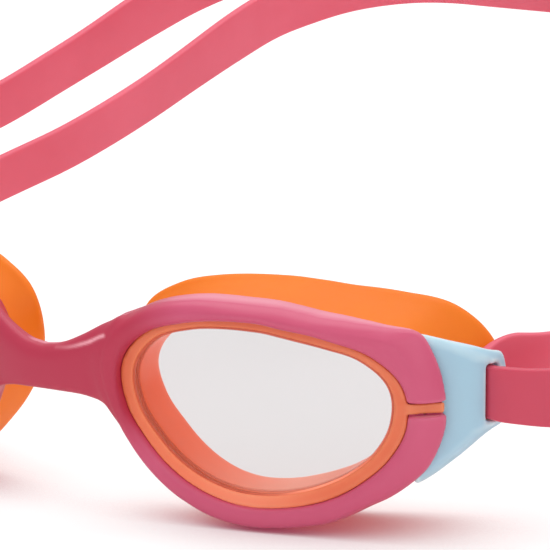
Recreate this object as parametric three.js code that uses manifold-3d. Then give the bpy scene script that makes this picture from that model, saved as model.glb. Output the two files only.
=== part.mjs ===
// Swim goggles: a front frame with nose bridge, two lens carriers with their lenses, two
// soft face seals, two end pieces with strap posts, a silicone strap and a rear buckle.
// Millimetres, +Z up. X = 0 is the plane of symmetry of the front, which faces -Y; "left"
// is the wearer's left, +X. The parts are drawn from the front of the nose bridge, and the
// group is then moved so that the origin lies under the middle of the whole article.
import * as THREE from 'three';
import { ParametricGeometry } from 'three/addons/geometries/ParametricGeometry.js';
import { mergeVertices } from 'three/addons/utils/BufferGeometryUtils.js';
import Module from 'manifold-3d';

const wasm = await Module();
wasm.setup();

// ---------------------------------------------------------------- shared sizes
const ORIGIN_Y = 89.35; // middle of the overall depth
const ORIGIN_Z = 0.1; // lowest edge
const SIDES = [[1, 'left'], [-1, 'right']];
const GAP = 0.3; // clearance between neighbouring pieces

// Each cup is drawn in its lens plane: s outwards, t up, and the depth w backwards.
const WRAP = THREE.MathUtils.degToRad(12); // each lens plane is turned back by this angle
const NOSE_X = 14; // where a lens plane starts beside the bridge
const NOSE_Y = 3.5;
const CUP_S = 26; // centre of a cup
const CUP_T = 20.5;

const RING_WIDTH = 2.15; // carrier ring, from its nominal outline to its opening
const CARRIER_DEPTH = 10.5;
const TUNNEL_STEP = 1.0; // the tunnel's rear edge stands this far inside the opening
const TUNNEL_WALL = 1.7;
const LENS_FRONT = 0.7; // the lens lies this far behind the ring's front
const LENS_THICK = 1.7;
const LENS_SEAT = LENS_FRONT + LENS_THICK + GAP;
const RIM_STEPS = 72;
const CUP_STEPS = 60;

const SLOT_BOTTOM = 20.4; // strap slot of an end piece
const SLOT_TOP = 30.2;
const STRAP_THICK = 1.8;
const LOOP_WIDE = SLOT_TOP - SLOT_BOTTOM - 2 * GAP; // strap at the end pieces
const STRAP_Z = (SLOT_BOTTOM + SLOT_TOP) / 2; // its mid-height there
const HALF_BAND = 8.8 / 2; // half the strap's width behind the end pieces
const LIFT_Y = 50; // the strap bends up about a line along X through here
const LIFT_ANGLE = THREE.MathUtils.degToRad(20);
const BACK_V = 127.7; // distance from that line to the strap's back run
const LAYER = STRAP_THICK + GAP; // spacing of the strap's layers in the buckle

const FINISH = {
  frame: { color: 0xd6577c, roughness: 0.35 },
  carrier: { color: 0xe8693f, roughness: 0.4 },
  lens: { color: 0xe7e7e6, roughness: 0.05, transparent: true, opacity: 0.35 },
  seal: { color: 0xf98c38, roughness: 0.6 },
  fitting: { color: 0xa4c3d6, roughness: 0.45 },
  strap: { color: 0xe05a72, roughness: 0.5 },
};

// ------------------------------------------------------------------ cup tables
// Readings at equal angles round the cup centre, from the temple side over the top.
// Outlines are radii, the others are depths w unless noted.
const RING_OUT = [ // nominal outline between carrier ring and frame
  25.6, 25.5, 22.3, 18.8, 16.9, 16.0, 16.2, 16.9, 18.4, 21.1, 24.7, 26.4,
  24.8, 22.2, 20.3, 18.8, 17.7, 17.0, 16.6, 16.7, 17.5, 18.9, 20.8, 23.4,
];
const FRAME_OUT = [
  31.8, 32.1, 32.2, 32.0, 31.0, 26.9, 23.9, 21.9, 20.5, 19.6, 19.1, 19.0,
  19.1, 19.5, 20.2, 21.0, 22.1, 23.5, 25.2, 26.9, 28.4, 29.4, 29.7, 29.1,
  28.1, 27.1, 26.2, 25.2, 24.3, 23.5, 22.8, 22.1, 21.6, 21.1, 20.7, 20.4,
  20.2, 20.1, 20.3, 20.7, 21.4, 22.1, 22.9, 24.0, 25.8, 27.7, 29.7, 30.9,
];
const LIP_PROUD = [ // height of the frame's lip in front of the lens plane
  0.6, 0.8, 1.3, 2.1, 2.9, 3.3, 3.4, 3.4, 3.2, 3.0, 2.8, 2.6,
  2.4, 2.2, 2.0, 1.9, 1.8, 1.8, 1.7, 1.6, 1.5, 1.3, 1.0, 0.7,
];
const FRAME_EDGE = [ // front of the outer edge: the temple panel wraps back
  1.9, 1.8, 1.1, 0.0, -1.0, -1.4, -1.5, -1.5, -1.4, -1.2, -0.9, -0.7,
  -0.6, -0.4, -0.2, -0.1, 0.0, 0.1, 0.1, 0.2, 0.4, 0.5, 0.8, 1.4,
];
const REAR_OUTER = [ // rear face at the outer edge
  2.7, 2.6, 2.3, 3.6, 4.1, 4.2, 4.2, 4.2, 4.2, 4.2, 4.2, 4.2,
  4.2, 4.2, 4.2, 4.2, 4.2, 4.2, 4.2, 4.2, 4.1, 3.4, 2.2, 2.3,
];
const REAR_INNER = [ // rear face beside the carrier
  1.2, 1.2, 1.6, 3.4, 4.1, 4.2, 4.2, 4.2, 4.2, 4.2, 4.2, 4.2,
  4.2, 4.2, 4.2, 4.2, 4.2, 4.2, 4.2, 4.2, 4.1, 3.4, 1.7, 1.2,
];
const SEAL_OUT = [
  34.5, 35.3, 32.1, 26.1, 22.3, 20.7, 20.5, 21.5, 23.8, 26.9, 29.3, 28.1,
  25.6, 23.0, 21.0, 19.9, 19.4, 19.6, 20.3, 20.9, 22.0, 24.2, 27.8, 31.7,
];
const SEAL_REAR = [
  24.9, 24.5, 22.7, 20.6, 19.0, 18.1, 17.3, 15.6, 13.5, 12.4, 12.7, 13.7,
  14.3, 14.1, 13.9, 14.3, 15.5, 16.7, 17.7, 18.5, 19.6, 21.1, 22.6, 24.1,
];

// --------------------------------------------------------------------- helpers
// Smooth periodic (Catmull-Rom) reading of a table at an angle in degrees.
function read(table, angle) {
  const count = table.length;
  const place = ((angle % 360) + 360) % 360 / 360 * count;
  const index = Math.floor(place);
  const f = place - index;
  const [before, start, end, after] = [-1, 0, 1, 2].map((k) => table[(index + k + count) % count]);
  return 0.5 * (2 * start + (end - before) * f
    + (2 * before - 5 * start + 4 * end - after) * f * f
    + (3 * start - before - 3 * end + after) * f * f * f);
}

const openingRadius = (angle) => read(RING_OUT, angle) - RING_WIDTH;

// [s, t] of a point at a radius and an angle in degrees round the cup centre
function polar(radius, angle) {
  const turn = THREE.MathUtils.degToRad(angle);
  return [CUP_S + radius * Math.cos(turn), CUP_T + radius * Math.sin(turn)];
}

// lens plane of one side to space
function cupPoint(side, s, t, w) {
  const cos = Math.cos(WRAP);
  const sin = Math.sin(WRAP);
  return new THREE.Vector3(side * (NOSE_X + cos * s - sin * w), NOSE_Y + sin * s + cos * w, t);
}

// One closed body: positions only, merged vertices, no slivers, faces pointing out.
function clean(geometry) {
  let g = geometry.clone();
  for (const name of Object.keys(g.attributes)) {
    if (name !== 'position') g.deleteAttribute(name);
  }
  g = mergeVertices(g, 1e-4);
  const { position } = g.attributes;
  const old = g.index.array;
  const kept = [];
  const corners = [new THREE.Vector3(), new THREE.Vector3(), new THREE.Vector3()];
  let volume = 0;
  for (let i = 0; i < old.length; i += 3) {
    const face = [old[i], old[i + 1], old[i + 2]];
    if (new Set(face).size < 3) continue;
    kept.push(...face);
    const [a, b, c] = corners.map((corner, k) => corner.fromBufferAttribute(position, face[k]));
    volume += a.dot(b.cross(c));
  }
  if (volume < 0) {
    for (let i = 0; i < kept.length; i += 3) [kept[i], kept[i + 1]] = [kept[i + 1], kept[i]];
  }
  g.setIndex(kept);
  return g;
}

function solid(geometry) {
  const g = clean(geometry);
  return new wasm.Manifold(new wasm.Mesh({
    numProp: 3,
    vertProperties: new Float32Array(g.attributes.position.array),
    triVerts: new Uint32Array(g.index.array),
  }));
}

function geometryOf(manifold) {
  const mesh = manifold.getMesh();
  const g = new THREE.BufferGeometry();
  g.setAttribute('position', new THREE.BufferAttribute(new Float32Array(mesh.vertProperties), 3));
  g.setIndex(new THREE.BufferAttribute(new Uint32Array(mesh.triVerts), 1));
  return g;
}

// A closed loop round a cup; section(angle) lists its corners as [radius, w].
function loop(side, section, steps) {
  const count = section(0).length;
  return new ParametricGeometry((u, v, target) => {
    const angle = 360 * u;
    const [radius, w] = section(angle)[Math.round(v * count) % count];
    target.copy(cupPoint(side, ...polar(radius, angle), w));
  }, steps, count);
}

function extrude(points, depth) {
  const shape = new THREE.Shape(points.map(([x, y]) => new THREE.Vector2(x, y)));
  return new THREE.ExtrudeGeometry(shape, { depth, bevelEnabled: false });
}

// prism with an outline of [x, z], between two values of y
function prismY(points, y0, y1) {
  return extrude(points, y1 - y0).rotateX(Math.PI / 2).translate(0, y1, 0);
}

// prism with an outline of [x, y], between two values of z
function prismZ(points, z0, z1) {
  return extrude(points, z1 - z0).translate(0, 0, z0);
}

// moves every vertex to the Vector3 that place(x, y, z) returns
function reshape(geometry, place) {
  const { position } = geometry.attributes;
  for (let i = 0; i < position.count; i++) {
    const moved = place(position.getX(i), position.getY(i), position.getZ(i));
    position.setXYZ(i, moved.x, moved.y, moved.z);
  }
  return geometry;
}

const mirror = (side, points) => points.map(([x, y]) => [side * x, y]);

const group = new THREE.Group();
function add(name, geometry, finish) {
  const material = new THREE.MeshStandardMaterial({ metalness: 0, ...finish });
  const mesh = new THREE.Mesh(clean(geometry), material);
  mesh.name = name;
  group.add(mesh);
}

// ----------------------------------------------------------------- front frame
// One cup's rim: a proud rounded lip, widening into the panel at the temple.
function rim(side) {
  return loop(side, (angle) => {
    const inner = read(RING_OUT, angle) + GAP / 2;
    const outer = read(FRAME_OUT, angle);
    const width = outer - inner;
    const lip = -read(LIP_PROUD, angle);
    const edge = read(FRAME_EDGE, angle);
    const rear = read(REAR_OUTER, angle);
    const rearInner = read(REAR_INNER, angle);
    return [
      [inner, Math.min(3.6, rearInner - 0.3)],
      [inner, 0.2],
      [inner + 0.12 * width, lip * 0.72],
      [inner + 0.36 * width, lip],
      [inner + 0.66 * width, lip + (edge - lip) * 0.36],
      [outer - 0.12 * width, lip + (edge - lip) * 0.78],
      [outer, edge + 0.55],
      [outer, Math.max(rear - 0.9, edge + 0.7)],
      [outer - 0.6, Math.max(rear, edge + 0.8)],
      [inner + 0.8, rearInner],
    ];
  }, RIM_STEPS);
}

const BRIDGE_DEPTH = 4.4;
const BRIDGE_ROUNDING = 0.72; // exponent: 1 gives elliptical sections, less squarer ones
const BRIDGE_HALF = [ // sections from the middle outwards: x, top, bottom, front
  [0, 29.35, 21.3, 0], [3.4, 29.9, 21.25, 0.1], [7.4, 31.7, 21.0, 0.6],
  [10.8, 33.6, 20.1, 1.4], [12.8, 34.2, 19.3, 1.9],
];

// The nose bridge, a bar with rounded sections, flares into both cups.
function bridge() {
  const otherHalf = BRIDGE_HALF.slice(1).map(([x, ...rest]) => [-x, ...rest]).reverse();
  const sections = [...otherHalf, ...BRIDGE_HALF];
  const last = sections.length + 1; // one extra row at each end closes the bar
  const round = (n) => Math.sign(n) * Math.abs(n) ** BRIDGE_ROUNDING;
  return new ParametricGeometry((u, v, target) => {
    const row = Math.round(v * last);
    const size = row === 0 || row === last ? 0 : 1;
    const index = Math.min(Math.max(row - 1, 0), sections.length - 1);
    const [x, top, bottom, front] = sections[index];
    const turn = 2 * Math.PI * u;
    target.set(
      x,
      front + BRIDGE_DEPTH / 2 * (1 - size * round(Math.cos(turn))),
      (top + bottom) / 2 + size * (top - bottom) / 2 * round(Math.sin(turn)),
    );
  }, 24, last);
}

// A carrier's rib lies in a slot through the temple panel that is open at the panel's edge.
const RIB_LINE = [[51.0, 23.3], [54.2, 23.5], [57.6, 23.7]]; // centre line: s, t
const RIB_HALF = 0.95;
const RIB_W = -0.6; // reference surface: level up to RIB_BEND_S, then sloping back
const RIB_BEND_S = 51.7;
const RIB_SLOPE = 0.41;

// bar along the rib line; front and back are measured from the reference surface
function ribBar(side, { half, front, back, extension = 0 }) {
  const line = RIB_LINE.map(([s, t]) => [s, t]);
  line.at(-1)[0] += extension;
  const lower = line.map(([s, t]) => [s, t - half]);
  const upper = line.map(([s, t]) => [s, t + half]).reverse();
  return reshape(extrude([...lower, ...upper], 1), (s, t, layer) => {
    const surface = RIB_W + Math.max(0, s - RIB_BEND_S) * RIB_SLOPE;
    return cupPoint(side, s, t, surface + (layer > 0.5 ? back : front));
  });
}

function frontFrame() {
  const slot = { half: RIB_HALF + GAP, front: -3, back: 5, extension: 3 };
  let frame = solid(rim(1)).add(solid(rim(-1))).add(solid(bridge()));
  for (const [side] of SIDES) frame = frame.subtract(solid(ribBar(side, slot)));
  return geometryOf(frame);
}

// --------------------------------------------------- carriers, lenses and seals
// ring in front, seat for the lens, tunnel wall behind it, and the rib
function carrier(side) {
  const ring = loop(side, (angle) => {
    const outer = read(RING_OUT, angle) - GAP / 2;
    const opening = openingRadius(angle);
    const bore = opening - TUNNEL_STEP;
    return [
      [outer, 0.35], [outer - 0.35, 0], [opening + 0.3, 0], [opening, 0.3],
      [opening, LENS_SEAT], [opening - 0.5, LENS_SEAT],
      [bore, CARRIER_DEPTH], [bore + 1.5, CARRIER_DEPTH], [bore + TUNNEL_WALL, 5.0],
      [outer, 3.9],
    ];
  }, CUP_STEPS);
  const rib = ribBar(side, { half: RIB_HALF, front: 0.15, back: 1.1 });
  return geometryOf(solid(ring).add(solid(rib)));
}

function lens(side) {
  const outline = [];
  for (let i = 0; i < CUP_STEPS; i++) {
    const angle = i * 360 / CUP_STEPS;
    outline.push(polar(openingRadius(angle) - GAP, angle));
  }
  const place = (s, t, depth) => cupPoint(side, s, t, LENS_FRONT + depth);
  return reshape(extrude(outline, LENS_THICK), place);
}

// soft skirt that flares back from the carrier to the face
function seal(side) {
  return loop(side, (angle) => {
    const ring = read(RING_OUT, angle);
    const bore = openingRadius(angle) - TUNNEL_STEP + TUNNEL_WALL + GAP / 2;
    const outer = read(SEAL_OUT, angle);
    const rear = read(SEAL_REAR, angle);
    const middle = 5.6 + (rear - 5.6) * 0.5;
    return [
      [ring + 0.6, 4.7], [ring + 1.0, 5.6], [ring + 1.2 + (outer - ring) * 0.35, middle],
      [outer, rear - 1.2], [outer - 0.5, rear], [outer - 2.6, rear - 0.3],
      [outer - 2.4, rear - 1.6], [ring - 0.6 + (outer - ring) * 0.3, middle],
      [bore + 0.2, 6.6], [bore + 0.1, 5.4],
    ];
  }, CUP_STEPS);
}

// ------------------------------------------------------------------ end pieces
// Outlines of the left one. The plate and slot are seen from above: x, y.
const PLATE = [
  [66.1, 16.9], [67.3, 17.6], [69.3, 18.9], [71.2, 20.05], [72.9, 21.4], [74.1, 22.65],
  [74.9, 23.9], [75.35, 25.2], [75.5, 26.8], [75.4, 28.6], [74.9, 29.6], [73.9, 29.7],
  [73.3, 28.9], [72.95, 27.4], [72.3, 25.9], [70.9, 24.2], [69.3, 22.6], [67.6, 20.8],
  [64.9, 18.6],
];
const SLOT = [
  [75.6, 22.9], [74.85, 23.75], [72.3, 25.0], [71.4, 25.3], [72.9, 27.75], [73.8, 27.15],
  [76.4, 26.75], [78, 26.6], [78, 22.9],
];
const FRONT_VIEW = [ // x, z
  [62, 33.4], [65.4, 34.3], [66.6, 34.95], [67.6, 35.0], [69.5, 34.45], [71.9, 33.8],
  [73.4, 32.9], [74.4, 32.0], [75.1, 30.95], [75.6, 29.6], [77.5, 28.6], [77.5, 20.4],
  [75.6, 19.75], [75.0, 19.25], [74.2, 18.45], [72.7, 16.7], [70.9, 15.1], [69.1, 13.5],
  [67.4, 11.9], [66.5, 11.7], [65.2, 12.8], [62, 14.0],
];

// A curved plate whose tongue slides under the temple panel; behind it a slot and
// an upright post that the strap goes round.
function endPiece(side) {
  const plate = solid(prismZ(mirror(side, PLATE), 0, 45));
  const frontView = solid(prismY(mirror(side, FRONT_VIEW), 5, 40));
  const slot = solid(prismZ(mirror(side, SLOT), SLOT_BOTTOM, SLOT_TOP));
  return geometryOf(plate.intersect(frontView).subtract(slot));
}

// ----------------------------------------------------------------------- strap
// From a tail in the buckle the strap runs out along the outside, through the slot of
// an end piece, back along the inside and across the back.
const POST_LOOP = [ // level part round the left post, from outside to inside: x, y
  [98.0, 44.6], [96.4, 39.2], [93.2, 34.4], [88.6, 30.3], [83.8, 27.5], [80.0, 25.7],
  [77.4, 24.9], [75.3, 25.0], [73.1, 26.0], [71.0, 27.8], [69.4, 30.2], [68.8, 32.9],
  [69.7, 35.6], [72.2, 37.9], [74.8, 40.6], [76.4, 44.6],
];
// Behind the bend line the strap is drawn flat as x, v, with v the distance back from
// that line. The paths start ahead of the rounded end and are trimmed to it.
const START_V = -HALF_BAND - 2.5;
const INNER = [
  [76.6, START_V], [77.6, 0], [77.4, 7], [76.1, 15], [73.8, 23], [70.2, 31], [65.9, 40],
  [61.4, 49.5], [58.3, 59], [55.5, 70.5], [53, 84], [50.2, 97], [47.2, 107.5],
];
// the bend into the back run is sharper on the left, the buckle's side
const CORNER_LEFT = [[43.8, 114.6], [39.3, 121], [34, 125.3], [29.5, 127.3], [25, BACK_V]];
const CORNER_RIGHT = [[42.6, 114.6], [37.4, 120.3], [31.1, 124.2], [24.5, 126.6], [17, BACK_V]];
const OUTER = [
  [98.3, START_V], [99.2, 0], [99, 10], [97.2, 24], [93.8, 38], [89.4, 52], [84.7, 65],
  [81.2, 79], [78, 91], [74.4, 104], [70.4, 115.5], [64.4, 125], [55.5, 131.4], [45, 134.4],
];

// outline of a strap of even thickness that follows the points [x, y]
function strapOutline(points, steps) {
  const path = points.map(([x, y]) => new THREE.Vector3(x, y, 0));
  const curve = new THREE.CatmullRomCurve3(path, false, 'centripetal');
  const half = STRAP_THICK / 2;
  const near = [];
  const far = [];
  for (let i = 0; i <= steps; i++) {
    const point = curve.getPointAt(i / steps);
    const along = curve.getTangentAt(i / steps);
    near.push([point.x - along.y * half, point.y + along.x * half]);
    far.unshift([point.x + along.y * half, point.y - along.x * half]);
  }
  return [...near, ...far];
}

// space the raised strap may fill: a slab whose front end is rounded about the bend line
function raisedSpace() {
  const profile = []; // v, z
  for (let i = 0; i <= 12; i++) {
    const turn = Math.PI * i / 12;
    profile.push([-HALF_BAND * Math.sin(turn), HALF_BAND * Math.cos(turn)]);
  }
  profile.push([160, -HALF_BAND], [160, HALF_BAND]);
  const place = (v, z, x) => new THREE.Vector3(x, v, z);
  return solid(reshape(prismZ(profile, -120, 120), place));
}

// tilts a body drawn flat from the bend line up into its place
function lifted(manifold) {
  return geometryOf(manifold).rotateX(LIFT_ANGLE).translate(0, LIFT_Y, STRAP_Z);
}

function raisedStrap(outline) {
  return lifted(solid(prismZ(outline, -HALF_BAND, HALF_BAND)).intersect(raisedSpace()));
}

function strapLoop(side) {
  const outline = mirror(side, strapOutline(POST_LOOP, 72));
  return prismZ(outline, STRAP_Z - LOOP_WIDE / 2, STRAP_Z + LOOP_WIDE / 2);
}

// inside run of both sides, joined across the back
function strapBand() {
  const left = [...INNER, ...CORNER_LEFT];
  const right = mirror(-1, [...INNER, ...CORNER_RIGHT]).reverse();
  const back = [[12, BACK_V], [0, BACK_V], [-9, BACK_V]];
  return raisedStrap(strapOutline([...left, ...back, ...right], 150));
}

// outside run, ending in the buckle at the given number of layers behind the band
function strapTail(side, layer, cornerRise) {
  const v = BACK_V + LAYER * layer;
  const path = [...OUTER, [34, v + cornerRise], [28, v + 0.1], [25, v], [0, v], [-25, v]];
  return raisedStrap(mirror(side, strapOutline(path, 90)));
}

// ---------------------------------------------------------------------- buckle
const BUCKLE_X = 16; // the buckle's place along the back run
const BUCKLE_LONG = 14;
const BUCKLE_WALL = 1.5;
const BUCKLE_CHAMFER = 1.6;
const BUCKLE_PLAY = 0.35; // before and behind the layers
const BUCKLE_EDGE_PLAY = 0.4; // above and below them
const WINDOW_NEAR = 1.8; // from the buckle's middle: half the bar between the windows
const WINDOW_FAR = 5.4;
const WINDOW_MARGIN = 0.6;

function box(x0, x1, y0, y1, z0, z1) {
  const g = new THREE.BoxGeometry(x1 - x0, y1 - y0, z1 - z0);
  return solid(g.translate((x0 + x1) / 2, (y0 + y1) / 2, (z0 + z1) / 2));
}

// a sleeve round the three layers, its rear wall pierced by two windows with a bar between
function buckle() {
  const front = BACK_V - STRAP_THICK / 2 - BUCKLE_PLAY;
  const rear = BACK_V + 2 * LAYER + STRAP_THICK / 2 + BUCKLE_PLAY;
  const innerZ = HALF_BAND + BUCKLE_EDGE_PLAY;
  const x = BUCKLE_LONG / 2;
  const z = innerZ + BUCKLE_WALL;
  const cutX = x - BUCKLE_CHAMFER;
  const cutZ = z - BUCKLE_CHAMFER;
  const outline = [
    [-cutX, -z], [cutX, -z], [x, -cutZ], [x, cutZ],
    [cutX, z], [-cutX, z], [-x, cutZ], [-x, -cutZ],
  ];
  let body = solid(prismY(outline, front - BUCKLE_WALL, rear + BUCKLE_WALL));
  body = body.subtract(box(-20, 20, front, rear, -innerZ, innerZ));
  const windowZ = innerZ - WINDOW_MARGIN;
  for (const [x0, x1] of [[WINDOW_NEAR, WINDOW_FAR], [-WINDOW_FAR, -WINDOW_NEAR]]) {
    body = body.subtract(box(x0, x1, rear - 1, rear + 5, -windowZ, windowZ));
  }
  return lifted(body).translate(BUCKLE_X, 0, 0);
}

// -------------------------------------------------------------------- assembly
add('front_frame', frontFrame(), FINISH.frame);
for (const [side, name] of SIDES) {
  add(`carrier_${name}`, carrier(side), FINISH.carrier);
  add(`lens_${name}`, lens(side), FINISH.lens);
  add(`seal_${name}`, seal(side), FINISH.seal);
}
for (const [side, name] of SIDES) add(`end_piece_${name}`, endPiece(side), FINISH.fitting);
for (const [side, name] of SIDES) add(`strap_loop_${name}`, strapLoop(side), FINISH.strap);
add('strap_band', strapBand(), FINISH.strap);
add('strap_tail_left', strapTail(1, 2, 0.9), FINISH.strap);
add('strap_tail_right', strapTail(-1, 1, 1.2), FINISH.strap);
add('rear_buckle', buckle(), FINISH.fitting);

group.position.set(0, -ORIGIN_Y, -ORIGIN_Z);
export default group;
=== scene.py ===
"""Swim goggles: a one-piece front frame with two lens cups, side end pieces and a looped strap.

Lengths are millimetres in the drawing's own coordinates unless said otherwise: x to the
wearer's left, y from the front of the nose bridge (y = 0) towards the back of the head, z up
from near the lower edge. add_piece moves meshes to the row frame and turns them to metres.
Each cup also has its own frame, turned by WRAP: `across` runs outwards in the lens plane and
`depth` backwards; angles round the cup are in degrees from outwards (0) through up (90).
"""
import math
import bpy
import numpy as np
from mathutils import Euler, Matrix, Vector


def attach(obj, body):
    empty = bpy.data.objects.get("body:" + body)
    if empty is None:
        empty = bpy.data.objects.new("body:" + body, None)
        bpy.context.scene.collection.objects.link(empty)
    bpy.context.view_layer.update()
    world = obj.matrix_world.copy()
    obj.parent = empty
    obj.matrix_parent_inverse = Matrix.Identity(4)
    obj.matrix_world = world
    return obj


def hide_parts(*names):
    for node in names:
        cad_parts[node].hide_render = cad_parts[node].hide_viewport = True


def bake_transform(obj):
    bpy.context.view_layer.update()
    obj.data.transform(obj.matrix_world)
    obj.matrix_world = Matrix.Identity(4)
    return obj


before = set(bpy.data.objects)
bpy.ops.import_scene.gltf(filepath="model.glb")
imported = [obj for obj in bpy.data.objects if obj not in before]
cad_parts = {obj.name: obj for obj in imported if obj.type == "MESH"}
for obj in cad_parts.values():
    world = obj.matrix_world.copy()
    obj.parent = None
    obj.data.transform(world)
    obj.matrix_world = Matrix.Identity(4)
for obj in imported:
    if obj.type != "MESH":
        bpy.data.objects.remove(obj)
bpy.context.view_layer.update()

# ------------------------------------------------------------------ dimensions
MM = 0.001
ORIGIN_Y, ORIGIN_Z = 89.35, 0.1            # the row frame's origin in the drawing
WRAP = math.radians(12.0)
WRAP_COS, WRAP_SIN = math.cos(WRAP), math.sin(WRAP)
NOSE_X, NOSE_Y = 14.0, 3.5                 # where a cup's across and depth are zero
CUP_ACROSS, CUP_Z = 26.0, 20.5             # centre of a cup
GAP, RING_WIDE, CARRIER_DEPTH = 0.3, 2.15, 10.5
LENS_FRONT, LENS_THICK = 0.7, 1.7
BRIDGE_DEPTH = 4.4
SLOT_Z0, SLOT_Z1 = 20.4, 30.2
STRAP_THICK, STRAP_WIDE, BAND_WIDE, STRAP_Z = 1.8, 9.2, 8.8, 25.3
LIFT_Y, LIFT = 50.0, math.radians(20.0)    # the band rises backwards about this y
RISE_START, RISE_END = 34.0, 66.0          # y where the rise sets in and is complete
BACK, LAYER = 127.7, 2.1                   # back run behind LIFT_Y, and its layer spacing
BUCKLE_X, BUCKLE_LONG, BUCKLE_WALL = 16.0, 14.0, 1.5


# ---------------------------------------------------------------- small maths
def bell(count):
    """Smoothing weights that add up to one."""
    weights = np.exp(-np.linspace(-2, 2, count) ** 2)
    return weights / weights.sum()


def hump(x, centre, reach):
    return np.exp(-((x - centre) / reach) ** 2)


def smooth_step(x, start, end):
    share = np.clip((x - start) / (end - start), 0, 1)
    return share * share * (3 - 2 * share)


def plateau(x, rise, fall):
    """Zero, up to one over the rise, back to zero over the fall."""
    return smooth_step(x, *rise) * (1 - smooth_step(x, *fall))


def soft_max(first, second, blend):
    near = np.maximum(blend - np.abs(first - second), 0) / blend
    return np.maximum(first, second) + near * near * blend * 0.25


def soft_min(first, second, blend):
    return -soft_max(-first, -second, blend)


# --------------------------------------------- tables round the cup, from 0 degrees
FINE = np.arange(0, 360, 0.25)


def around(table):
    """Values at equal angles, made into a smooth one every quarter degree."""
    table = np.asarray(table, float)
    count = len(table)
    place = FINE / 360 * count
    start = np.floor(place).astype(int)
    part = place - start
    before, near, far, after = (table[(start + k) % count] for k in (-1, 0, 1, 2))
    fine = 0.5 * (2 * near + (far - before) * part
                  + (2 * before - 5 * near + 4 * far - after) * part ** 2
                  + (3 * near - before - 3 * far + after) * part ** 3)
    return np.convolve(np.concatenate([fine[-8:], fine, fine[:8]]), bell(17), "valid")


def at_angle(fine, angle):
    return np.interp(angle, FINE, fine, period=360)


# outer radius of the carrier ring
RING_OUT = around([
    25.6, 25.5, 22.3, 18.8, 16.9, 16.0, 16.2, 16.9, 18.4, 21.1, 24.7, 26.4,
    24.8, 22.2, 20.3, 18.8, 17.7, 17.0, 16.6, 16.7, 17.5, 18.9, 20.8, 23.4])
# outer radius of the frame every 7.5 degrees, and a trim to it every 15
FRAME_OUT = around([
    31.8, 32.1, 32.2, 32.1, 31.4, 27.0, 23.9, 21.9, 20.5, 19.6, 19.1, 19.0,
    19.1, 19.5, 20.2, 21.0, 22.1, 23.5, 25.2, 26.9, 28.4, 29.4, 29.7, 29.1,
    28.1, 27.1, 26.2, 25.2, 24.3, 23.5, 22.8, 22.1, 21.6, 21.1, 20.7, 20.4,
    20.2, 20.1, 20.3, 20.7, 21.4, 22.1, 22.9, 24.0, 25.8, 27.7, 29.7, 30.9])
FRAME_OUT = FRAME_OUT + around([
    0, 0, 0, 0.1, -0.05, 0.1, 0, -0.25, 0.1, 0.3, 0.5, -0.1,
    -1.05, -0.85, -0.65, -0.45, -0.2, 0, 0.1, 0.15, 0.2, 0.2, 0.1, 0])
# how far the frame's lip stands in front of the ring, and laps over it
LIP_PROUD = around([
    0.6, 0.8, 1.3, 2.0, 2.5, 2.8, 2.9, 2.9, 2.8, 2.4, 2.0, 1.6,
    1.3, 1.1, 1.0, 0.9, 0.9, 0.9, 0.9, 0.9, 0.9, 0.9, 0.8, 0.7])
LIP_OVER = around([
    0, 0.1, 0.25, 0.4, 0.55, 0.75, 0.8, 0.85, 0.8, 0.8, 0.5, 0] + [0] * 12)
# 1 where the lip stands up steeply, 0 where it grows gently
LIP_STEEP = np.clip(around([
    0.5, 0.6, 0.8, 1, 1, 1, 1, 1, 0.9, 0.6, 0.3, 0.1,
    0, 0, 0, 0, 0, 0, 0, 0, 0, 0.1, 0.3, 0.4]), 0, 1)
# extra thickness of the carrier's wall, and more of it towards the back
WALL_PLUS = around([
    0.4, -0.2, -0.55, -0.4, -0.2, -0.25, -0.15, -0.15, -0.3, -0.4, -0.3, 0,
    0, 0, 0, 0, 0, 0, 0, 0, 0.2, 0.35, 0.25, 0.35])
WELL_PLUS = around([0] * 11 + [
    0.25, 0.8, 0.95, 0.75, 0.4, 0.15, 0.12, 0.18, 0.28, 0.35, 0.28, 0.1, 0])
# depth of the frame's front face at its outline
EDGE_DEPTH = around([
    1.9, 1.8, 1.1, 0, -1.0, -1.4, -1.5, -1.5, -1.4, -1.2, -0.9, -0.7,
    -0.6, -0.4, -0.2, -0.1, 0, 0.1, 0.1, 0.2, 0.4, 0.5, 0.8, 1.4])
# depth of the frame's rear face at its outline, and next to the ring
REAR_OUTER = around([2.7, 2.6, 2.3, 3.6, 4.1] + [4.2] * 15 + [4.1, 3.4, 2.2, 2.3])
REAR_INNER = around([1.2, 1.2, 1.6, 3.4, 4.1] + [4.2] * 15 + [4.1, 3.4, 1.7, 1.2])
# radius and depth of the seal's rear edge, and 1 where that edge is thin
SEAL_OUT = around([
    34.2, 35.3, 32.1, 26.1, 22.3, 20.7, 20.5, 21.5, 23.8, 26.9, 29.3, 28.1,
    25.6, 23.0, 21.0, 19.9, 19.3, 19.3, 19.8, 20.2, 21.1, 22.8, 26.0, 30.3])
SEAL_DEPTH = around([
    24.9, 24.5, 22.7, 20.6, 19.0, 18.1, 17.3, 15.6, 13.5, 12.4, 12.7, 13.7,
    14.3, 14.1, 13.9, 14.3, 15.5, 16.7, 17.7, 18.5, 19.6, 21.1, 22.6, 24.1])
SEAL_THIN = around([0] * 9 + [0.3, 0.8, 1, 1, 1, 1, 0.9, 0.6, 0.3] + [0] * 6)


def to_cup(x, y, z):
    """Points of the left side as across, depth, radius and angle in its cup."""
    dx, dy = x - NOSE_X, y - NOSE_Y
    across = WRAP_COS * dx + WRAP_SIN * dy
    depth = -WRAP_SIN * dx + WRAP_COS * dy
    out, up = across - CUP_ACROSS, z - CUP_Z
    return across, depth, np.hypot(out, up), np.degrees(np.arctan2(up, out)) % 360


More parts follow.
